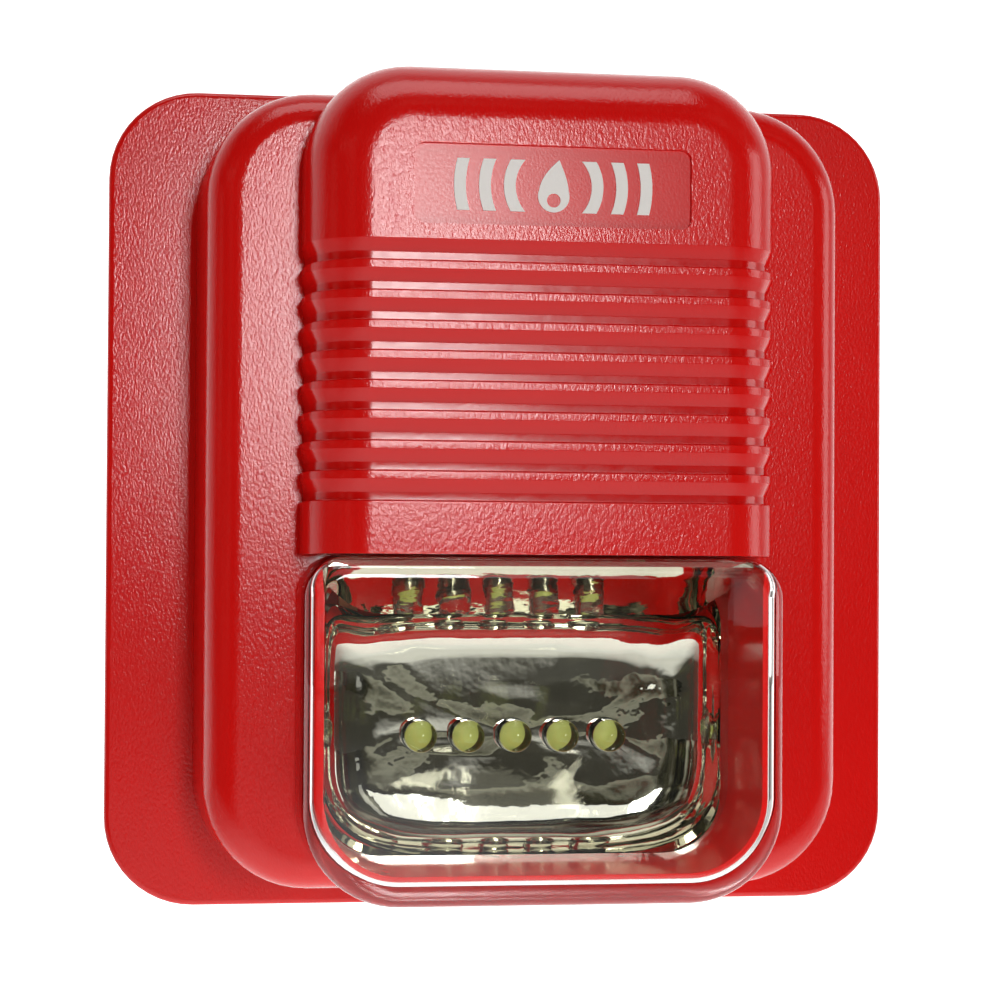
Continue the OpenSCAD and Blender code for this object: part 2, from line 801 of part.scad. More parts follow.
module terminal_block() color([0.12, 0.5, 0.28]) face_out() difference() {
    block(-block_w / 2, block_up - block_h / 2, plate_t, [block_w, block_h, block_out - plate_t]);
    for (x = [-pole_x, pole_x]) {
        block(x - cage_w / 2 - cage_room, block_up - cage_h / 2 - cage_room, cage_low - cage_room,
              [cage_w + 2 * cage_room, cage_h + 2 * cage_room, cage_t + cage_travel]);
        outward(clamp_head_r + cage_room, x, block_up, cage_low + 1, through);
        block(x - wire_way_w / 2, block_up, cage_low + 0.4, [wire_way_w, block_h, wire_way_h]);
    }
}

module clamp_screw(x) color("silver") face_out() difference() {
    union() {
        outward(clamp_head_r, x, block_up, block_out - clamp_head_low, clamp_head_h);
        outward(clamp_shank_r, x, block_up, cage_low + clamp_tip,
                block_out - clamp_head_low - cage_low - clamp_tip + eps);
    }
    block(x - past / 2, block_up - clamp_slot_w / 2, block_out - clamp_slot_deep,
          [past, clamp_slot_w, past]);
}

module clamp_cage(x) color([0.85, 0.83, 0.78]) face_out() difference() {
    block(x - cage_w / 2, block_up - cage_h / 2, cage_low, [cage_w, cage_h, cage_t]);
    block(x - cage_w / 2 + cage_wall, block_up - cage_h, cage_low + cage_wall,
          [cage_w - 2 * cage_wall, 2 * cage_h, cage_t - cage_window]);
    outward(clamp_shank_r + run_clear, x, block_up, cage_low + 1, through);
}

// Flat strip on the plate from the terminal block to a contact spring
module bus_bar(side) color([0.8, 0.45, 0.25]) face_out() {
    inner = block_w / 2;
    low = block_up - bar_w / 2;
    block(side > 0 ? inner : -pad_x - bar_w / 2, low, plate_t, [pad_x + bar_w / 2 - inner, bar_w, bar_t]);
    block(side * pad_x - bar_w / 2, low, plate_t, [bar_w, pad_up - low + bar_past, bar_t]);
}

// Leaf that rises off its bus bar to the pad behind the main board
module contact_spring(side) color([0.78, 0.5, 0.28]) face_out()
    translate([side * pad_x - leaf_w / 2, 0, 0]) rotate([0, 90, 0]) rotate([0, 0, 90])
        linear_extrude(leaf_w) {
            low = plate_t + bar_t;
            high = main_out - leaf_gap;
            foot = low + leaf_t;
            crown = high - leaf_t;
            lip = high - 2;
            polygon([[pad_up - 6, low], [pad_up + 4, low], [pad_up + 4, foot],
                     [pad_up + 3.4, foot], [pad_up + 1.2, high], [pad_up - 2.4, high],
                     [pad_up - 3, lip], [pad_up - 2.6, lip], [pad_up - 2.1, crown],
                     [pad_up + 0.9, crown], [pad_up + 3, foot], [pad_up - 6, foot]]);
        }

mounting_plate();
terminal_block();
bus_bar(-1);  // bus_bar_left
bus_bar(1);  // bus_bar_right
contact_spring(-1);  // contact_spring_left
contact_spring(1);  // contact_spring_right
lock_clip();
lock_screw();
clamp_screw(-pole_x);  // clamp_screw_left
clamp_screw(pole_x);  // clamp_screw_right
clamp_cage(-pole_x);  // clamp_cage_left
clamp_cage(pole_x);  // clamp_cage_right
housing();
legend();
lens();
reflector();
reflector_screws();
lamp_board();
lamp_board_screws();
lamp(-2);  // lamp_1
lamp(-1);  // lamp_2
lamp(0);  // lamp_3
lamp(1);  // lamp_4
lamp(2);  // lamp_5
lamp_leads();
lamp_resistors();
main_board();
main_board_screws();
contact_pads();
capacitor();
inductor_core();
inductor_coil();
controller_chip();
transistor();
diodes();
resistors();
varistor();
dip_switch();
dip_lever(-lever_x);  // dip_lever_1
dip_lever(lever_x);  // dip_lever_2
sound_chamber();
chamber_back();
chamber_screws();
piezo_disc();
piezo_ceramic();
piezo_wires();
lamp_wires();
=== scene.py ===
import math
import bmesh
import bpy
from mathutils import Matrix, Vector, noise


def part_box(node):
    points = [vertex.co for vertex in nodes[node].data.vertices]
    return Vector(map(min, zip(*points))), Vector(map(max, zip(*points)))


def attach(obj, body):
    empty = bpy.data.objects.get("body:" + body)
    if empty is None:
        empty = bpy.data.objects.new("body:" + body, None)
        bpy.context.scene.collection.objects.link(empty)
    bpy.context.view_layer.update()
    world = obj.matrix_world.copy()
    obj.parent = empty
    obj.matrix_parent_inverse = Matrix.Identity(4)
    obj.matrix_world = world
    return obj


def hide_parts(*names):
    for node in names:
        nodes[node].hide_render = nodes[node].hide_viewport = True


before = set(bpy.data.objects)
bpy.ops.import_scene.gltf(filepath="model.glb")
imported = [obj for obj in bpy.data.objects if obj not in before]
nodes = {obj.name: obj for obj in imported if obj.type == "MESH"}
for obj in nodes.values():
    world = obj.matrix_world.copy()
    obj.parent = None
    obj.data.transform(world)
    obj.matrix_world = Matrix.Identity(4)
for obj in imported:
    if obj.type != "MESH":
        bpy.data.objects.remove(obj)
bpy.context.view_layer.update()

mm = 0.001  # shapes are drawn in millimetres: x across, y = minus the distance from the wall, z up
scene = bpy.context.scene


def nodeBox(name):  # a CAD node's box in millimetres
    low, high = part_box(name)
    return low / mm, high / mm


view = {"across": -63.35, "up": -9.0, "ahead": 309.25, "yaw": 7.13, "pitch": 0.76, "roll": 0.40,
        "lens": 70.89, "shiftX": 0.15, "shiftY": 0.03}
baseFaceOut = 11  # the camera's distance is taken from the face of the base tier


def addCamera():
    data = bpy.data.cameras.new("camera")
    data.lens = view["lens"]
    data.shift_x = view["shiftX"]
    data.shift_y = view["shiftY"]
    data.clip_start = 0.01
    camera = bpy.data.objects.new("camera", data)
    turn = (Matrix.Rotation(-math.radians(view["yaw"]), 4, "Z")
            @ Matrix.Rotation(math.radians(90 + view["pitch"]), 4, "X")
            @ Matrix.Rotation(math.radians(view["roll"]), 4, "Z"))
    place = Vector((view["across"], -(baseFaceOut + view["ahead"]), view["up"])) * mm
    camera.matrix_world = Matrix.Translation(place) @ turn
    scene.collection.objects.link(camera)
    scene.camera = camera


addCamera()
print("camera placed")


def addRange(tree, source, fromLow, fromHigh, toLow, toHigh):
    node = tree.nodes.new("ShaderNodeMapRange")
    node.inputs["From Min"].default_value = fromLow
    node.inputs["From Max"].default_value = fromHigh
    node.inputs["To Min"].default_value = toLow
    node.inputs["To Max"].default_value = toHigh
    tree.links.new(source, node.inputs["Value"])
    return node.outputs["Result"]


def addMath(tree, operation, *sources):
    node = tree.nodes.new("ShaderNodeMath")
    node.operation = operation
    for i, source in enumerate(sources):
        tree.links.new(source, node.inputs[i])
    return node.outputs["Value"]


def newMaterial(name, recipe):
    # recipe: colour and tint (blotched together), rough (low, high), grain (scale, depth in mm), and where
    # they matter stretch, turn and detail of the grain, blotch (scale), wear, metal, coat, glass and ior
    material = bpy.data.materials.new(name)
    material.use_nodes = True
    tree = material.node_tree
    shader = tree.nodes["Principled BSDF"]
    shader.inputs["Metallic"].default_value = recipe.get("metal", 0)
    shader.inputs["IOR"].default_value = recipe.get("ior", 1.5)
    shader.inputs["Specular IOR Level"].default_value = recipe.get("specular", 0.5)
    shader.inputs["Coat Weight"].default_value = recipe.get("coat", 0)
    shader.inputs["Transmission Weight"].default_value = recipe.get("glass", 0)

    place = tree.nodes.new("ShaderNodeTexCoord")
    blotch = tree.nodes.new("ShaderNodeTexNoise")
    blotch.inputs["Scale"].default_value = recipe.get("blotch", 60)
    blotch.inputs["Detail"].default_value = 3
    tree.links.new(place.outputs["Object"], blotch.inputs["Vector"])
    colour = recipe["colour"]
    mix = tree.nodes.new("ShaderNodeMix")
    mix.data_type = "RGBA"
    mix.inputs["A"].default_value = (*colour, 1)
    mix.inputs["B"].default_value = (*recipe.get("tint", [c * 0.85 for c in colour]), 1)
    tree.links.new(blotch.outputs["Fac"], mix.inputs["Factor"])
    colourOut = mix.outputs["Result"]

    if recipe.get("wear"):  # raised edges rub lighter
        geometry = tree.nodes.new("ShaderNodeNewGeometry")
        ramp = tree.nodes.new("ShaderNodeValToRGB")
        ramp.color_ramp.elements[0].position = 0.54
        ramp.color_ramp.elements[1].position = 0.62
        tree.links.new(geometry.outputs["Pointiness"], ramp.inputs["Fac"])
        worn = tree.nodes.new("ShaderNodeMix")
        worn.data_type = "RGBA"
        worn.inputs["B"].default_value = (*recipe["wear"], 1)
        tree.links.new(ramp.outputs["Color"], worn.inputs["Factor"])
        tree.links.new(colourOut, worn.inputs["A"])
        colourOut = worn.outputs["Result"]
    tree.links.new(colourOut, shader.inputs["Base Color"])

    grainScale, grainDepth = recipe.get("grain", (1200, 0.01))
    grain = tree.nodes.new("ShaderNodeTexNoise")
    grain.inputs["Scale"].default_value = grainScale
    grain.inputs["Detail"].default_value = recipe.get("detail", 2)
    grain.inputs["Roughness"].default_value = 0.55
    stretch = tree.nodes.new("ShaderNodeMapping")
    stretch.inputs["Scale"].default_value = recipe.get("stretch", (1, 1, 1))
    stretch.inputs["Rotation"].default_value = recipe.get("turn", (0, 0, 0))
    tree.links.new(place.outputs["Object"], stretch.inputs["Vector"])
    tree.links.new(stretch.outputs["Vector"], grain.inputs["Vector"])
    tree.links.new(addRange(tree, grain.outputs["Fac"], 0.3, 0.7, *recipe["rough"]), shader.inputs["Roughness"])
    bump = tree.nodes.new("ShaderNodeBump")
    bump.inputs["Strength"].default_value = 1
    bump.inputs["Distance"].default_value = grainDepth * mm
    tree.links.new(grain.outputs["Fac"], bump.inputs["Height"])
    tree.links.new(bump.outputs["Normal"], shader.inputs["Normal"])
    return material


redDeep = (0.77, 0.005, 0.004)
finishes = {
    "redTextured": {"colour": (0.79, 0.007, 0.006), "tint": (0.73, 0.006, 0.005), "rough": (0.11, 0.20),
                    "grain": (2900, 0.04), "stretch": (1, 1, 0.55), "turn": (0, 0.6, 0),
                    "wear": (0.80, 0.010, 0.008)},
    "redSmooth": {"colour": redDeep, "tint": (0.72, 0.004, 0.0035), "rough": (0.12, 0.20),
                  "grain": (500, 0.012), "wear": (0.78, 0.008, 0.007)},
    "redLabel": {"colour": (0.77, 0.008, 0.007), "tint": (0.72, 0.007, 0.006), "rough": (0.18, 0.26),
                 "grain": (2600, 0.012)},
    # the inside's red is darker than the skin's: painted shade for the hollow; only its rougher finish is the
    # moulding's own
    "redInsidePaintedShade": {"colour": (0.48, 0.006, 0.005), "rough": (0.42, 0.6), "grain": (700, 0.02)},
    "whitePrint": {"colour": (0.93, 0.89, 0.85), "tint": (0.88, 0.84, 0.80), "rough": (0.38, 0.5),
                   "grain": (2500, 0.01)},
    "clearLens": {"colour": (0.97, 0.98, 0.97), "tint": (0.95, 0.965, 0.95), "rough": (0.0, 0.02),
                  "grain": (90, 0.02), "glass": 1, "ior": 1.58},
    "chrome": {"colour": (0.87, 0.85, 0.75), "tint": (0.80, 0.78, 0.66), "rough": (0.02, 0.05),
               "grain": (180, 0.05), "metal": 1, "detail": 3},
    "lampEpoxy": {"colour": (0.98, 0.985, 0.96), "tint": (0.96, 0.97, 0.93), "rough": (0.0, 0.02),
                  "grain": (400, 0.004), "glass": 1, "ior": 1.5},
    "phosphor": {"colour": (0.46, 0.50, 0.13), "tint": (0.36, 0.42, 0.08), "rough": (0.5, 0.7),
                 "grain": (3000, 0.02)},
    "leadFrame": {"colour": (0.75, 0.75, 0.72), "rough": (0.12, 0.25), "grain": (900, 0.01), "metal": 1},
    "zinc": {"colour": (0.62, 0.63, 0.64), "tint": (0.52, 0.53, 0.56), "rough": (0.25, 0.42),
             "grain": (800, 0.01), "metal": 1, "wear": (0.8, 0.8, 0.8)},
    "springSteel": {"colour": (0.48, 0.49, 0.52), "rough": (0.22, 0.38), "grain": (700, 0.01), "metal": 1},
    "boardWhite": {"colour": (0.74, 0.76, 0.70), "rough": (0.35, 0.5), "grain": (500, 0.01)},
    "boardGreen": {"colour": (0.02, 0.15, 0.045), "tint": (0.03, 0.21, 0.07), "rough": (0.28, 0.42),
                   "grain": (400, 0.012), "blotch": 240, "wear": (0.25, 0.32, 0.18)},
    "tin": {"colour": (0.68, 0.68, 0.66), "rough": (0.25, 0.4), "grain": (1500, 0.01), "metal": 1},
    "gold": {"colour": (0.80, 0.56, 0.20), "rough": (0.18, 0.3), "grain": (900, 0.006), "metal": 1},
    "sleeve": {"colour": (0.02, 0.035, 0.12), "rough": (0.25, 0.36), "grain": (600, 0.01)},
    "ferrite": {"colour": (0.05, 0.05, 0.055), "rough": (0.5, 0.68), "grain": (1600, 0.02)},
    "copperWire": {"colour": (0.62, 0.22, 0.08), "tint": (0.5, 0.16, 0.05), "rough": (0.2, 0.34),
                   "grain": (1500, 0.03), "stretch": (0.1, 1, 0.1), "metal": 1, "coat": 0.4},
    "blackEpoxy": {"colour": (0.016, 0.016, 0.018), "rough": (0.42, 0.6), "grain": (1800, 0.012)},
    "blueEpoxy": {"colour": (0.03, 0.10, 0.36), "rough": (0.24, 0.36), "grain": (700, 0.015)},
    "switchRed": {"colour": (0.45, 0.03, 0.02), "rough": (0.35, 0.5), "grain": (1200, 0.01)},
    "switchWhite": {"colour": (0.75, 0.75, 0.72), "rough": (0.3, 0.45), "grain": (1200, 0.01)},
    "blackPlastic": {"colour": (0.02, 0.02, 0.022), "tint": (0.03, 0.03, 0.032), "rough": (0.35, 0.52),
                     "grain": (1400, 0.02), "wear": (0.07, 0.07, 0.07)},
    "brass": {"colour": (0.72, 0.50, 0.20), "tint": (0.62, 0.42, 0.16), "rough": (0.2, 0.36),
              "grain": (500, 0.01), "metal": 1},
    "ceramic": {"colour": (0.74, 0.72, 0.64), "rough": (0.4, 0.55), "grain": (900, 0.01)},
    "wireBlack": {"colour": (0.02, 0.02, 0.02), "rough": (0.35, 0.5), "grain": (900, 0.01)},
    "wireRed": {"colour": (0.50, 0.02, 0.015), "rough": (0.35, 0.5), "grain": (900, 0.01)},
    "terminalGreen": {"colour": (0.03, 0.23, 0.09), "tint": (0.025, 0.19, 0.075), "rough": (0.36, 0.5),
                      "grain": (1300, 0.02), "wear": (0.08, 0.33, 0.17)},
    "copper": {"colour": (0.68, 0.27, 0.13), "tint": (0.5, 0.2, 0.1), "rough": (0.24, 0.42),
               "grain": (400, 0.01), "metal": 1},
    "bronze": {"colour": (0.62, 0.34, 0.16), "rough": (0.22, 0.36), "grain": (600, 0.01), "metal": 1},
}
made = {name: newMaterial(name, recipe) for name, recipe in finishes.items()}
print("materials mixed:", len(made))


def makeBlock(low, high):  # corners given as (across, out, up)
    bm = bmesh.new()
    bmesh.ops.create_cube(bm, size=1)
    bmesh.ops.scale(bm, vec=[b - a for a, b in zip(low, high)], verts=bm.verts)
    middle = Vector((low[0] + high[0], -(low[1] + high[1]), low[2] + high[2])) / 2
    bmesh.ops.translate(bm, vec=middle, verts=bm.verts)
    return bm


def edgesAlong(bm, axis, test=None):
    found = []
    for edge in bm.edges:
        a, b = (v.co for v in edge.verts)
        if abs((b - a).normalized()[axis]) > 0.999 and (test is None or test((a + b) / 2)):
            found.append(edge)
    return found


def roundEdges(bm, edges, radius, segments):
    bmesh.ops.bevel(bm, geom=edges, offset=radius, offset_type="OFFSET", segments=segments,
                    profile=0.5, affect="EDGES", material=-1, clamp_overlap=False)


def rimEdges(bm, out, test=None):  # the edges round the flat face that lies this far out
    found = []
    for edge in bm.edges:
        a, b = (v.co for v in edge.verts)
        if abs(a.y + out) > 1e-3 or abs(b.y + out) > 1e-3:
            continue
        flat = [f for f in edge.link_faces if abs(f.normal.y) > 0.99]
        if len(flat) == 1 and (test is None or test((a + b) / 2)):
            found.append(edge)
    return found


def makeTier(low, high, topCorner, footCorner, draft=0, rim=0, rimSegments=8, steps=12, rimTest=None):
    # a block with round corners, walls that lean in by draft, and a rounded front rim
    bm = makeBlock(low, high)
    middle = (low[2] + high[2]) / 2
    if topCorner:
        roundEdges(bm, edgesAlong(bm, 1, lambda p: p.z > middle), topCorner, steps)
    if footCorner:
        roundEdges(bm, edgesAlong(bm, 1, lambda p: p.z < middle), footCorner, steps)
    across, tall = high[0] - low[0], high[2] - low[2]
    centre = Vector(((low[0] + high[0]) / 2, 0, middle))
    front = [v for v in bm.verts if v.co.y < -high[1] + 0.01]
    bmesh.ops.scale(bm, vec=((across - 2 * draft) / across, 1, (tall - 2 * draft) / tall),
                    verts=front, space=Matrix.Translation(-centre))
    if rim:
        bm.normal_update()
        roundEdges(bm, rimEdges(bm, high[1], rimTest), rim, rimSegments)
    return bm


def makeRod(radius, start, end, steps=32):  # a round bar between two (across, out, up) points
    a = Vector((start[0], -start[1], start[2]))
    b = Vector((end[0], -end[1], end[2]))
    bm = bmesh.new()
    turn = (b - a).to_track_quat("Z", "Y").to_matrix().to_4x4()
    bmesh.ops.create_cone(bm, cap_ends=True, segments=steps, radius1=radius, radius2=radius,
                          depth=(b - a).length, matrix=Matrix.Translation((a + b) / 2) @ turn)
    return bm


def pour(parts):  # several bmeshes into one
    whole = bmesh.new()
    for part in parts:
        mesh = bpy.data.meshes.new("part")
        part.to_mesh(mesh)
        part.free()
        whole.from_mesh(mesh)
        bpy.data.meshes.remove(mesh)
    return whole


def combine(bm, tools, how):  # "UNION" or "DIFFERENCE" with each tool in turn
    for tool in tools:
        objects = []
        for source in (bm, tool):
            mesh = bpy.data.meshes.new("work")
            source.to_mesh(mesh)
            source.free()
            thing = bpy.data.objects.new("work", mesh)
            scene.collection.objects.link(thing)
            objects.append(thing)
        cut = objects[0].modifiers.new("cut", "BOOLEAN")
        cut.operation = how
        cut.object = objects[1]
        cut.solver = "EXACT"
        bm = bmesh.new()
        bm.from_object(objects[0], bpy.context.evaluated_depsgraph_get())
        for thing in objects:
            mesh = thing.data
            bpy.data.objects.remove(thing)
            bpy.data.meshes.remove(mesh)
    return bm


def makePiece(bm, name, materials, body, replaced=(), sharp=32, weighted=True):
    # merges doubles, turns faces out, scales millimetres to metres and hands the piece to its body
    bmesh.ops.remove_doubles(bm, verts=bm.verts, dist=0.002)
    bmesh.ops.recalc_face_normals(bm, faces=bm.faces)
    bmesh.ops.scale(bm, vec=(mm, mm, mm), verts=bm.verts)
    for face in bm.faces:
        face.smooth = True
    mesh = bpy.data.meshes.new(name)
    bm.to_mesh(mesh)
    bm.free()
    mesh.set_sharp_from_angle(angle=math.radians(sharp))
    piece = bpy.data.objects.new(name, mesh)
    scene.collection.objects.link(piece)
    for material in materials:
        mesh.materials.append(made[material])
    if weighted:
        even = piece.modifiers.new("even normals", "WEIGHTED_NORMAL")
        even.keep_sharp = True
        even.weight = 80
    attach(piece, body)
    if replaced:
        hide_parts(*replaced)
    return piece


housing = {"wall": 2, "skirtBack": 1, "baseCorner": 14, "baseRim": 0.9,
           "midHalf": 49.4, "midLow": -59.4, "midHigh": 61.0, "midOut": 32, "midCorner": 16,
           "midDraft": 1, "midRound": 5,
           "towerHalf": 35, "towerHigh": 62.5, "towerOut": 46, "towerCorner": 15, "towerDraft": 0.3,
           "towerRound": 9,
           "labelHalf": 20.15, "labelTall": 5.75, "labelUp": 43.95, "labelDeep": 0.6, "labelCorner": 1.5,
           "frameWall": 1.2, "frameOut": 42, "frameRound": 0.35, "rimOut": 26,
           "cavityHalf": 32.1, "cavityLow": -54.6, "cavityTop": -10, "cavityFoot": 11, "cavityCorner": 3,
           "overlap": 0.3}
posts = {"board": (3, 13.6, (-38, 38), (3, 49)), "ear": (3, 26, (-37.5, 37.5), (-18, -46)),
         "sounder": (2.6, 29.5, (-27, 27), (27,)), "sounderEnd": 42.6, "steps": 24}
hook = {"up": 59.15, "out": 3, "across": (-35, 35), "half": 5, "body": 2.7, "seat": 1.5, "reach": 4.2,
        "mouth": (-37, 0, 30, 62), "webOut": (2.2, 5.7)}
lock = {"out": 6, "bossHalf": 8, "bossOut": 10, "webLow": -61.65, "webTop": -59.85, "head": 3.3, "shank": 1.7,
        "past": 1}
grooves = {"count": 9, "pitch": 4.26, "top": 36.1, "fadeOut": 33.2,
           "profile": [(0, 0), (0.10, 0.03), (1.00, 0.36), (1.85, 0.75), (2.0, 0.8), (2.98, 0.8),
                       (3.08, 0.74), (3.13, 0.66), (3.16, 0.12), (3.22, 0.03), (3.34, 0)]}
lens = {"half": 35.3, "low": -59.1, "top": -8.9, "out": 45.2, "back": 32, "foot": 14, "corner": 6,
        "round": 3, "side": 1.8, "bottom": 3.06, "front": 2.2, "lip": 1}
baseHalf, _, baseTall = nodeBox("housing")[1]


def sectionNormal(x, out):  # which way the tower's wall faces at a point of its level section
    half, face, r = housing["towerHalf"], housing["towerOut"], housing["towerRound"]
    side = 1 if x > 0 else -1
    if abs(x) <= half - r:
        return Vector((0, -1, 0))
    if out <= face - r:
        return Vector((side, 0, 0))
    return Vector((x - side * (half - r), -(out - (face - r)), 0)).normalized()


def cutGrooves(bm):
    # level loops are cut round the tower, then pushed in to the groove's profile
    for i in range(grooves["count"]):
        top = grooves["top"] - i * grooves["pitch"]
        for drop, _ in grooves["profile"]:
            bmesh.ops.bisect_plane(bm, geom=bm.verts[:] + bm.edges[:] + bm.faces[:], dist=1e-5,
                                   plane_co=(0, 0, top - drop), plane_no=(0, 0, 1))
    for i in range(grooves["count"]):
        top = grooves["top"] - i * grooves["pitch"]
        for drop, deep in grooves["profile"]:
            level = [v for v in bm.verts
                     if abs(v.co.z - (top - drop)) < 1e-3 and -v.co.y > grooves["fadeOut"]]
            for v in level:
                v.co -= sectionNormal(v.co.x, -v.co.y) * deep


def makeTower(shrink=0, low=None, back=None):
    s = shrink
    low = lens["top"] if low is None else low
    back = housing["midOut"] - 8 if back is None else back
    return makeTier((-housing["towerHalf"] + s, back, low),
                    (housing["towerHalf"] - s, housing["towerOut"] - s, housing["towerHigh"] - s),
                    housing["towerCorner"] - s, 0, housing["towerDraft"], housing["towerRound"] - s / 2, 12,
                    rimTest=lambda p: p.z > low + 0.5)


def makeMid(shrink=0, back=None):
    s = shrink
    back = baseFaceOut - housing["wall"] - s if back is None else back
    return makeTier((-housing["midHalf"] + s, back, housing["midLow"] + s),
                    (housing["midHalf"] - s, housing["midOut"] - s, housing["midHigh"] - s),
                    housing["midCorner"] - s, housing["midCorner"] - s, housing["midDraft"],
                    housing["midRound"] - s / 2, 8)


def movedVerts(result):  # the new vertices an extrusion made
    return [v for v in result["geom"] if isinstance(v, bmesh.types.BMVert)]


def makeHookSocket(x):
    up, out, w, reach = hook["up"], hook["out"], hook["half"], hook["reach"]
    body = makeRod(hook["body"], (x - w, out, up), (x + w, out, up), 28)
    web = makeBlock((x - w, hook["webOut"][0], up),
                    (x + w, hook["webOut"][1], baseTall - housing["wall"] + housing["overlap"] + 0.1))
    body = combine(body, [web], "UNION")
    seat = makeRod(hook["seat"], (x - w - 1, out, up), (x + w + 1, out, up), 24)
    mouth = bmesh.new()  # wedge that opens the seat towards the foot and the wall
    ring = [mouth.verts.new((x - w - 1, -out, up))]
    for angle in hook["mouth"]:
        a = math.radians(angle)
        ring.append(mouth.verts.new((x - w - 1, -out + reach * math.cos(a), up + reach * math.sin(a))))
    face = mouth.faces.new(ring)
    moved = movedVerts(bmesh.ops.extrude_face_region(mouth, geom=[face]))
    bmesh.ops.translate(mouth, vec=(2 * w + 2, 0, 0), verts=moved)
    bmesh.ops.recalc_face_normals(mouth, faces=mouth.faces)
    return combine(body, [seat, mouth], "DIFFERENCE")


def makePosts():  # the bars that take the boards', reflector's and sounder's screws
    h = housing
    bars = []
    for kind in ("board", "ear", "sounder"):
        radius, start, acrosses, ups = posts[kind]
        end = posts["sounderEnd"] if kind == "sounder" else h["midOut"] - h["wall"] + h["overlap"]
        for x in acrosses:
            for up in ups:
                bars.append(makeRod(radius, (x, start, up), (x, end, up), posts["steps"]))
    return bars


def makeHousing():
    h = housing
    wall = h["wall"]
    base = makeTier((-baseHalf, h["skirtBack"], -baseTall), (baseHalf, baseFaceOut, baseTall),
                    h["baseCorner"], h["baseCorner"], 0, h["baseRim"], 4)
    tower = makeTower()
    cutGrooves(tower)
    chin = makeTier((-lens["half"], baseFaceOut - 1, lens["low"]), (lens["half"], h["midOut"], lens["top"] + 5),
                    5, lens["foot"])
    shell = combine(base, [makeMid(), tower, chin], "UNION")
    print("outer tiers joined:", len(shell.faces))
    innerCorner = h["baseCorner"] - wall
    hollow = [makeTier((-baseHalf + wall, 0, -baseTall + wall),
                       (baseHalf - wall, baseFaceOut - wall, baseTall - wall), innerCorner, innerCorner),
              makeMid(wall), makeTower(wall, lens["top"] + wall, h["rimOut"])]
    shell = combine(shell, hollow, "DIFFERENCE")
    half, low = h["cavityHalf"], h["cavityLow"]
    frameTube = makeTier((-half - h["frameWall"], h["rimOut"], low - h["frameWall"]),
                         (half + h["frameWall"], h["frameOut"], lens["top"] - lens["lip"] - 0.1), 4, 12,
                         0, h["frameRound"], 3)
    shell = combine(shell, [frameTube], "UNION")
    light = makeTier((-half, 20, low), (half, 60, h["cavityTop"]), h["cavityCorner"], h["cavityFoot"])
    doorway = makeBlock((-half, h["midOut"], h["cavityTop"] - 4), (half, h["frameOut"] + 1, lens["top"] - 0.02))
    shell = combine(shell, [light, doorway], "DIFFERENCE")
    print("hollowed:", len(shell.faces))
    boss = makeBlock((-lock["bossHalf"], h["skirtBack"], -baseTall + wall - 0.2),
                     (lock["bossHalf"], lock["bossOut"], lock["webTop"]))
    shell = combine(shell, makePosts() + [boss] + [makeHookSocket(x) for x in hook["across"]], "UNION")
    foot, web, out = -baseTall - lock["past"], lock["webLow"], lock["out"]
    head, shank, shankLow, shankTop = lock["head"], lock["shank"], web - 0.95, lock["webTop"] + 1.05
    cuts = [makeBlock((-57, 0, baseTall - wall - 0.01), (57, hook["webOut"][0], baseTall + 1)),
            makeRod(head, (0, out, foot), (0, out, web), 24),
            makeBlock((-head, 0, foot), (head, out, web)),
            makeRod(shank, (0, out, shankLow), (0, out, shankTop), 24),
            makeBlock((-shank, 0, shankLow), (shank, out, shankTop)),
            makeTier((-h["labelHalf"], h["towerOut"] - h["labelDeep"], h["labelUp"] - h["labelTall"]),
                     (h["labelHalf"], h["towerOut"] + 2, h["labelUp"] + h["labelTall"]),
                     h["labelCorner"], h["labelCorner"], steps=5)]
    shell = combine(shell, cuts, "DIFFERENCE")
    print("housing cut:", len(shell.faces))
    # finishes by place: textured skin, smooth grooves, satin label floor, and an inside painted a darker red as
    # painted shade
    for face in shell.faces:
        c = face.calc_center_median()
        out = -c.y
        face.material_index = 0
        inLabel = abs(c.x) < h["labelHalf"] - 0.01 and abs(c.z - h["labelUp"]) < h["labelTall"] - 0.01
        fromTop = grooves["top"] - c.z
        drop = fromTop % grooves["pitch"]
        if inLabel and abs(out - (h["towerOut"] - h["labelDeep"])) < 0.02:
            face.material_index = 2
        elif 0 < fromTop < grooves["count"] * grooves["pitch"] and out > grooves["fadeOut"] \
                and drop < grooves["profile"][-1][0] and abs(c.x) < h["towerHalf"] + 0.1 \
                and (out > h["towerOut"] - 1.2 or abs(c.x) > h["towerHalf"] - h["towerRound"]):
            face.material_index = 1
        elif abs(c.x) < 33.4 and -56 < c.z < -8.9 and 26 <= out < 42.1:
            face.material_index = 1
        # faces turned to the wall take the darker red, painted shade inside the shell
        elif face.normal.y > 0.3 and out < h["towerOut"] - 1.5:
            face.material_index = 3
    return makePiece(shell, "housing_shell", ["redTextured", "redSmooth", "redLabel", "redInsidePaintedShade"],
                     "front_unit", ["housing"], 30)


makeHousing()
print("housing made")


def makeLens():
    outer = makeTier((-lens["half"], lens["back"], lens["low"]), (lens["half"], lens["out"], lens["top"]),
                     lens["corner"], lens["foot"], 0.15, lens["round"], 10, 16)
    inner = makeTier((-lens["half"] + lens["side"], lens["back"] - 1, lens["low"] + lens["bottom"]),
                     (lens["half"] - lens["side"], lens["out"] - lens["front"], lens["top"] - lens["lip"]),
                     lens["corner"] - 1.8, lens["foot"] - 1.8, 0, 1.4, 6, 16)
    shell = combine(outer, [inner], "DIFFERENCE")
    piece = makePiece(shell, "lens_cover", ["clearLens"], "front_unit", ["lens"], 40)
    piece.visible_shadow = False
    return piece


makeLens()
print("lens made")


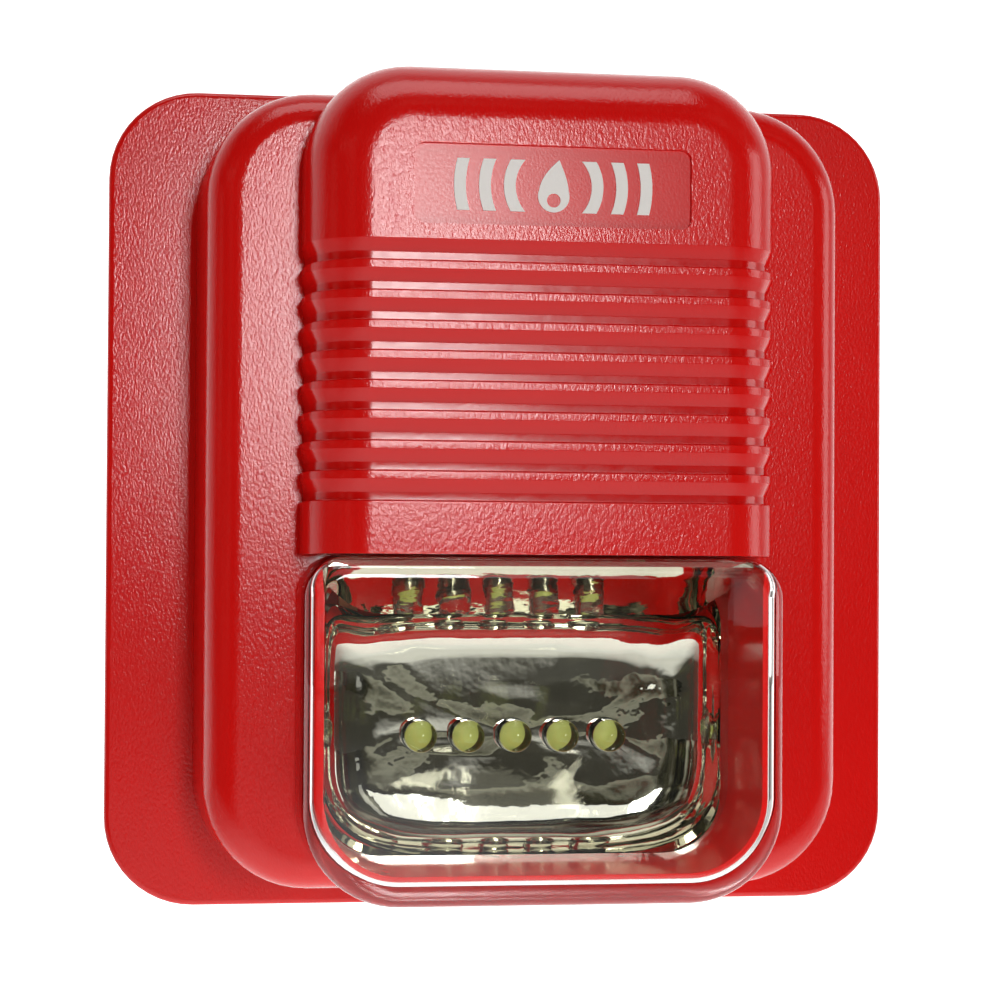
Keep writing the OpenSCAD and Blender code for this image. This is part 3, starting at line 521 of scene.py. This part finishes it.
bowl = {"half": 31.3, "tall": 22.2, "up": -32.2, "floorHalf": 17, "floorTall": 6, "rim": 26, "floor": 18,
        "thick": 1.3, "rings": 26, "wave": 0.22, "waveLong": 8.5, "hole": 2.65, "rowUp": -36.6, "pitch": 7.4,
        "floorShares": [0.15, 0.4, 0.6, 0.8], "earOut": 40.9, "earRoot": 31, "earHalf": 3.4,
        "stem": 2.5, "stemAt": 23, "stemBack": 14.6, "earHole": 1.3}
shelf = {"half": 31.2, "crease": -16.9, "creaseOut": 28, "edge": -10.35, "edgeOut": 40.3, "thick": 0.8,
         "bendFrom": 22, "across": 64, "deep": 14, "wave": 0.16, "bow": 0.7}


def bowlRing(bm, t, skin, floorAt, steps):
    # one level loop of the bowl: t = 0 on the floor, 1 at the rim
    b = bowl
    swell = math.sqrt(1 - (1 - t) ** 2)
    out = floorAt + (b["rim"] - floorAt) * (1 - math.cos(math.pi / 2 * t))
    half = b["floorHalf"] + (b["half"] - b["floorHalf"]) * swell + skin
    tall = b["floorTall"] + (b["tall"] - b["floorTall"]) * swell + skin
    up = b["up"] - 2 * (1 - math.sin(math.pi / 2 * t))
    corner = min(3.5 + 7 * swell, half, tall)
    ring = []
    for i in range(steps):  # a round rectangle, by powers of sine and cosine
        quarter, along = divmod(i * 4 / steps, 1)
        a = math.pi / 2 * (quarter + along)
        power = 2 + 2.6 * (1 - corner / tall * 0.5)
        c, s = math.cos(a), math.sin(a)
        x = half * math.copysign(abs(c) ** (2 / power), c)
        z = tall * math.copysign(abs(s) ** (2 / power), s)
        ring.append(bm.verts.new((x, -out, up + z)))
    return ring


def joinRings(bm, a, b):
    for i in range(len(a)):
        j = (i + 1) % len(a)
        bm.faces.new((a[i], a[j], b[j], b[i]))


def bendAt(x):  # how far the crease has risen towards the rim at this place across: 0 to 1
    t = (abs(x) - shelf["bendFrom"]) / (shelf["half"] - shelf["bendFrom"])
    return max(0, min(1, t)) ** 2


def liftBowl(verts, rimUp):
    # the bowl's upper wall is drawn down and out until its edge is the crease
    low = bowl["up"] + bowl["floorTall"]
    for v in verts:
        up = (v.co.z - low) / (rimUp - low)
        if up > 0:
            keep = bendAt(v.co.x)
            creased = low + up * (shelf["crease"] - low)
            v.co.z += (creased - v.co.z) * (1 - keep)
            v.co.y -= (shelf["creaseOut"] - bowl["rim"]) * up ** 2 * (1 - keep)


def makeShelf():
    # from the crease outwards and up to the lens, wavy like the bowl
    s = shelf
    bm = bmesh.new()
    bmesh.ops.create_grid(bm, x_segments=s["across"], y_segments=s["deep"], size=1)
    for v in bm.verts:
        x, t = v.co.x * s["half"], (v.co.y + 1) / 2
        lift = bendAt(x) * 0.8
        foot = s["crease"] + (s["edge"] - s["crease"]) * lift
        footOut = s["creaseOut"] + (s["edgeOut"] - s["creaseOut"]) * lift * 0.5
        up = foot + (s["edge"] - foot) * t
        out = footOut + (s["edgeOut"] - footOut) * t - s["bow"] * math.sin(math.pi * t)
        wave = s["wave"] * noise.noise(Vector((x, out, up)) / 6) * math.sin(math.pi * t)
        v.co = Vector((x, -out - wave, up + wave))
    bmesh.ops.recalc_face_normals(bm, faces=bm.faces)
    bmesh.ops.solidify(bm, geom=bm.faces[:], thickness=s["thick"])
    return bm


def makeReflector():
    b = bowl
    steps = 120
    bm = bmesh.new()
    inner = []
    for share in b["floorShares"]:  # the flat floor in a few loops of its own
        ring = bowlRing(bm, 0, 0, b["floor"], steps)
        bmesh.ops.scale(bm, vec=(share, 1, share), verts=ring, space=Matrix.Translation((0, 0, -b["rowUp"])))
        inner.append(ring)
    inner += [bowlRing(bm, i / b["rings"], 0, b["floor"], steps) for i in range(b["rings"] + 1)]
    outer = [bowlRing(bm, i / 8, b["thick"], b["floor"] - b["thick"], steps) for i in range(9)]
    for rings in (inner, outer):
        for i in range(len(rings) - 1):
            joinRings(bm, rings[i], rings[i + 1])
        bm.faces.new(rings[0])
    for v in outer[-1]:
        v.co.y = -(b["rim"] - b["thick"])
    joinRings(bm, inner[-1], outer[-1])
    liftBowl([v for ring in inner for v in ring], b["up"] + b["tall"])
    liftBowl([v for ring in outer for v in ring], b["up"] + b["tall"] + b["thick"])
    bmesh.ops.recalc_face_normals(bm, faces=bm.faces)
    skin = [v for ring in inner[1:-1] for v in ring]
    for v in skin:  # the moulding's waves, long ones along the bowl and short ones over them
        place = Vector((v.co.x * 0.6, v.co.y, v.co.z * 1.5)) / b["waveLong"]
        v.co.y += b["wave"] * (noise.noise(place) + 0.4 * noise.noise(place * 2.7))
    flange = makeTier((-33.3, b["rim"] - b["thick"], -55.8), (33.3, b["rim"], lens["top"] + 0.5), 4, 12)
    ears = []
    earAcross, earUps = posts["ear"][2:]
    for side in (-1, 1):
        left, right = sorted((side * b["earRoot"], side * b["earOut"]))
        for up in earUps:
            ears.append(makeTier((left, b["rim"] - b["thick"], up - b["earHalf"]),
                                 (right, b["rim"], up + b["earHalf"]), 3.3, 3.3, steps=6))
    hub = makeTier((-b["half"] + 0.4, b["rim"] - 5, b["up"] - b["tall"] + 0.4),
                   (b["half"] - 0.4, b["rim"] + 1, b["up"] + b["tall"] - 0.4), 9, 9)
    plate = combine(flange, ears, "UNION")
    plate = combine(plate, [hub], "DIFFERENCE")
    body = combine(bm, [plate], "UNION")
    stems = [makeRod(b["stem"], (x, b["stemBack"], b["rowUp"]), (x, b["floor"] - 0.4, b["rowUp"]), 24)
             for x in (-b["stemAt"], b["stemAt"])]
    body = combine(body, stems, "UNION")
    holes = [makeRod(b["hole"], (i * b["pitch"], 10, b["rowUp"]), (i * b["pitch"], 24, b["rowUp"]), 40)
             for i in range(-2, 3)]
    for x in earAcross:
        for up in earUps:
            holes.append(makeRod(b["earHole"], (x, 20, up), (x, 30, up), 20))
    body = combine(body, holes, "DIFFERENCE")
    body = pour([body, makeShelf()])
    return makePiece(body, "reflector_bowl", ["chrome"], "front_unit", ["reflector"], 40)


makeReflector()
print("reflector made")


lamp = {"radius": 2.5, "steps": 40, "innerSteps": 28, "legHalf": 0.25, "legs": ((-1.5, -1.0), (1.0, 1.5))}


def spun(points, x, up, steps):  # a closed turned shape from (radius, out) points
    bm = bmesh.new()
    verts = [bm.verts.new((x + r, -out, up)) for r, out in points]
    edges = [bm.edges.new((verts[i], verts[i + 1])) for i in range(len(verts) - 1)]
    bmesh.ops.spin(bm, geom=verts + edges, cent=(x, 0, up), axis=(0, 1, 0), angle=2 * math.pi, steps=steps,
                   use_merge=True, use_duplicate=False)
    bmesh.ops.remove_doubles(bm, verts=bm.verts, dist=1e-4)
    return bm


def makeLamp(index):
    low, high = nodeBox(f"lamp_{index}")
    x, up = (low.x + high.x) / 2, (low.z + high.z) / 2
    back, front = -high.y, -low.y
    flange, r = high.x - x, lamp["radius"]
    dome = front - r
    points = [(0, back), (flange - 0.1, back), (flange, back + 0.1), (flange, back + 0.9),
              (flange - 0.1, back + 1), (r, back + 1.05), (r, dome)]
    for i in range(1, 10):
        a = math.pi / 2 * i / 9
        points.append((r * math.cos(a) if i < 9 else 0, dome + r * math.sin(a)))
    piece = makePiece(spun(points, x, up, lamp["steps"]), f"lamp_{index}_dome", ["lampEpoxy"], "front_unit",
                      [f"lamp_{index}"], 50, False)
    piece.visible_shadow = False
    cup = [(0, back + 3.6), (0.9, back + 3.7), (1.55, back + 4.9), (1.75, back + 4.9), (1.75, back + 2.2),
           (0, back + 2.2)]
    legs = [makeBlock((x + left, back + 0.4, up - lamp["legHalf"]),
                      (x + right, back + 2.6, up + lamp["legHalf"])) for left, right in lamp["legs"]]
    makePiece(pour([spun(cup, x, up, lamp["innerSteps"])] + legs), f"lamp_{index}_frame", ["leadFrame"],
              "front_unit", (), 40, False)
    glow = [(0, back + 4.95), (0.6, back + 4.85), (0.95, back + 4.5), (0.9, back + 4.3), (0.6, back + 3.85),
            (0, back + 3.75)]
    makePiece(spun(glow, x, up, lamp["innerSteps"]), f"lamp_{index}_phosphor", ["phosphor"], "front_unit", (),
              50, False)


for index in range(1, 6):
    makeLamp(index)
print("lamps made")

nodeFinish = {
    "mounting_plate": "redTextured", "terminal_block": "terminalGreen", "bus_bar_left": "copper",
    "bus_bar_right": "copper", "contact_spring_left": "bronze", "contact_spring_right": "bronze",
    "lock_clip": "springSteel", "lock_screw": "zinc", "clamp_screw_left": "zinc", "clamp_screw_right": "zinc",
    "clamp_cage_left": "tin", "clamp_cage_right": "tin", "legend": "whitePrint", "reflector_screws": "zinc",
    "lamp_board": "boardWhite", "lamp_board_screws": "zinc", "lamp_leads": "tin",
    "lamp_resistors": "blackEpoxy",
    "main_board": "boardGreen", "main_board_screws": "zinc", "contact_pads": "gold", "capacitor": "sleeve",
    "inductor_core": "ferrite", "inductor_coil": "copperWire", "controller_chip": "blackEpoxy",
    "transistor": "blackEpoxy", "diodes": "blackEpoxy", "resistors": "blackEpoxy", "varistor": "blueEpoxy",
    "dip_switch": "switchRed", "dip_lever_1": "switchWhite", "dip_lever_2": "switchWhite",
    "sound_chamber": "blackPlastic", "chamber_back": "blackPlastic", "chamber_screws": "zinc",
    "piezo_disc": "brass", "piezo_ceramic": "ceramic", "piezo_wires": "wireBlack", "lamp_wires": "wireRed",
}
for name, finish in nodeFinish.items():
    node = nodes[name]
    for place in node.material_slots:
        place.material = made[finish]
print("CAD pieces finished:", len(nodeFinish))


# metres; each range is from low, from high, to low, to high
studio = {"floorDrop": 0.22, "backdrop": 2.2, "half": 3.0, "sweep": 0.5, "top": 2.4, "sweepSteps": 12,
          "behind": (0.05, 0.5, 0, 1.1), "tableWidth": (0.12, 0.34, 1, 0), "tableAhead": (-2.2, -1.2, 0, 0.75),
          "near": (-0.45, -0.16, 0, 1), "roomBehind": (-0.05, 0.4, 0, 1)}


def addStage():
    # one pale sheet: floor, a curved sweep and a backdrop far behind
    s = studio
    bm = bmesh.new()
    floorZ = -s["floorDrop"]
    path = [(-s["half"], floorZ), (s["backdrop"] - s["sweep"], floorZ)]
    for i in range(1, s["sweepSteps"] + 1):
        a = math.pi / 2 * i / s["sweepSteps"]
        path.append((s["backdrop"] - s["sweep"] + s["sweep"] * math.sin(a),
                     floorZ + s["sweep"] * (1 - math.cos(a))))
    path.append((s["backdrop"], s["top"]))
    verts = [bm.verts.new((-s["half"], y, z)) for y, z in path]
    edges = [bm.edges.new((verts[i], verts[i + 1])) for i in range(len(verts) - 1)]
    moved = movedVerts(bmesh.ops.extrude_edge_only(bm, edges=edges))
    bmesh.ops.translate(bm, vec=(2 * s["half"], 0, 0), verts=moved)
    bmesh.ops.recalc_face_normals(bm, faces=bm.faces)
    for face in bm.faces:
        face.smooth = True
    mesh = bpy.data.meshes.new("backdrop")
    bm.to_mesh(mesh)
    bm.free()
    sheet = bpy.data.objects.new("backdrop", mesh)
    scene.collection.objects.link(sheet)
    paper = newMaterial("paper", {"colour": (0.80, 0.80, 0.79), "tint": (0.76, 0.76, 0.76),
                                  "rough": (0.8, 0.95), "grain": (40, 0.01)})
    glow = paper.node_tree.nodes["Principled BSDF"]
    glow.inputs["Emission Color"].default_value = (1, 1, 1, 1)
    tree = paper.node_tree
    rays = tree.nodes.new("ShaderNodeLightPath")
    place = tree.nodes.new("ShaderNodeTexCoord")
    split = tree.nodes.new("ShaderNodeSeparateXYZ")
    tree.links.new(place.outputs["Object"], split.inputs["Vector"])
    # white to the camera, lit from behind the object, and a bright table top in front as wide as it is
    behind = addRange(tree, split.outputs["Y"], *s["behind"])
    across = addMath(tree, "ABSOLUTE", split.outputs["X"])
    width = addRange(tree, across, *s["tableWidth"])
    ahead = addRange(tree, split.outputs["Y"], *s["tableAhead"])
    table = addMath(tree, "MULTIPLY", width, ahead)
    lit = addMath(tree, "MAXIMUM", rays.outputs["Is Camera Ray"], behind)
    tree.links.new(addMath(tree, "MAXIMUM", lit, table), glow.inputs["Emission Strength"])
    # pale round the object, falling dark towards the front
    fall = tree.nodes.new("ShaderNodeMix")
    fall.data_type = "RGBA"
    fall.inputs["A"].default_value = (0.07, 0.065, 0.05, 1)
    tree.links.new(addRange(tree, split.outputs["Y"], *s["near"]), fall.inputs["Factor"])
    tree.links.new(glow.inputs["Base Color"].links[0].from_socket, fall.inputs["B"])
    tree.links.new(fall.outputs["Result"], glow.inputs["Base Color"])
    mesh.materials.append(paper)


def addLight(name, place, aim, size, power, colour=(1, 1, 1)):
    data = bpy.data.lights.new(name, "AREA")
    data.shape = "RECTANGLE"
    data.size, data.size_y = size
    data.energy = power
    data.color = colour
    light = bpy.data.objects.new(name, data)
    light.location = place
    light.rotation_euler = (Vector(aim) - Vector(place)).to_track_quat("-Z", "Y").to_euler()
    light.visible_camera = False
    scene.collection.objects.link(light)
    return light


def addWorld():
    # bright behind the object, a dim warm room in front of it; the camera sees plain white
    world = bpy.data.worlds.new("room")
    scene.world = world
    world.use_nodes = True
    tree = world.node_tree
    background = tree.nodes["Background"]
    place = tree.nodes.new("ShaderNodeTexCoord")
    split = tree.nodes.new("ShaderNodeSeparateXYZ")
    tree.links.new(place.outputs["Generated"], split.inputs["Vector"])
    behind = addRange(tree, split.outputs["Y"], *studio["roomBehind"])
    patches = tree.nodes.new("ShaderNodeTexNoise")
    patches.inputs["Scale"].default_value = 4.2
    patches.inputs["Detail"].default_value = 2
    tree.links.new(place.outputs["Generated"], patches.inputs["Vector"])
    ramp = tree.nodes.new("ShaderNodeValToRGB")
    ramp.color_ramp.elements[0].position = 0.42
    ramp.color_ramp.elements[0].color = (0.004, 0.004, 0.003, 1)
    ramp.color_ramp.elements[1].position = 0.68
    ramp.color_ramp.elements[1].color = (0.36, 0.355, 0.30, 1)
    middle = ramp.color_ramp.elements.new(0.54)
    middle.color = (0.035, 0.032, 0.018, 1)
    tree.links.new(patches.outputs["Fac"], ramp.inputs["Fac"])
    mix = tree.nodes.new("ShaderNodeMix")
    mix.data_type = "RGBA"
    mix.inputs["B"].default_value = (0.9, 0.9, 0.9, 1)
    tree.links.new(behind, mix.inputs["Factor"])
    tree.links.new(ramp.outputs["Color"], mix.inputs["A"])
    seen = tree.nodes.new("ShaderNodeMix")
    seen.data_type = "RGBA"
    seen.inputs["B"].default_value = (1, 1, 1, 1)
    rays = tree.nodes.new("ShaderNodeLightPath")
    tree.links.new(rays.outputs["Is Camera Ray"], seen.inputs["Factor"])
    tree.links.new(mix.outputs["Result"], seen.inputs["A"])
    tree.links.new(seen.outputs["Result"], background.inputs["Color"])


addStage()
addWorld()
addLight("key", (0.086, -0.85, 0.135), (0, 0, 0.02), (0.12, 0.24), 1.7)
addLight("keyEdge", (0.195, -0.85, 0.145), (0, 0, 0.02), (0.10, 0.26), 0.10)
addLight("strip", (0.32, -0.85, 0.15), (0, 0, 0.02), (0.06, 0.40), 0.03)
addLight("top", (0, -0.35, 1.1), (0, 0, 0), (0.8, 0.6), 3.6)
addLight("right", (1.2, -0.3, 0.2), (0, 0, 0), (0.5, 0.6), 2.4)
scene.view_settings.view_transform = "Standard"
print("studio lit")
